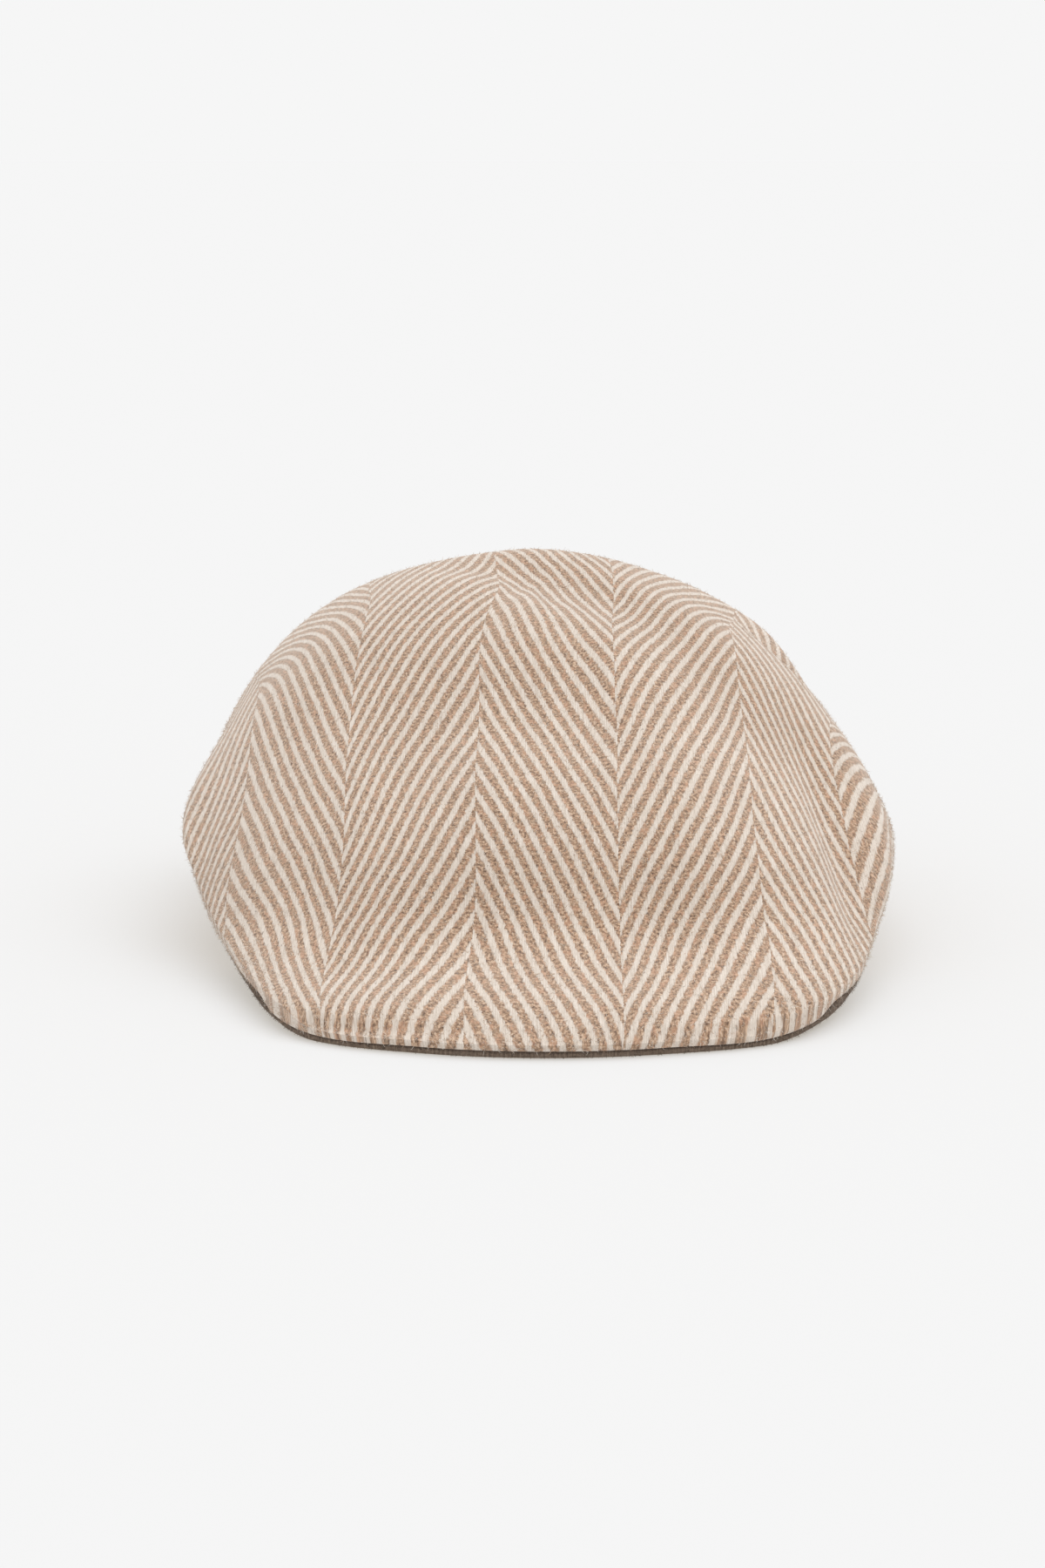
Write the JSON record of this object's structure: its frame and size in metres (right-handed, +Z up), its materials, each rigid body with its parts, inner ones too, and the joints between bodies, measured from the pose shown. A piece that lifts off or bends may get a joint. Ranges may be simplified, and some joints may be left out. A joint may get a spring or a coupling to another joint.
{
  "type": "flat cap",
  "caption": "Herringbone wool flat cap with a one-piece top over a stiff peak, side panels and an open head hollow, resting on its hem and peak.",
  "frame": {"origin": "centre of the bounding box's bottom, on the surface that the cap rests on", "axes": "+Z up, the peak points to -Y, +X is the wearer's left"},
  "size_m": [0.2528, 0.2858, 0.1308],
  "materials": {
    "cloth_top": "felted wool herringbone, cream and tan",
    "cloth_side": "felted wool herringbone, cream and tan",
    "cloth_peak": "plain grey-brown wool"
  },
  "bodies": {
    "root": {"crown_top": "cloth_top", "side_left": "cloth_side", "side_right": "cloth_side", "peak": "cloth_peak"}
  },
  "joints": []
}
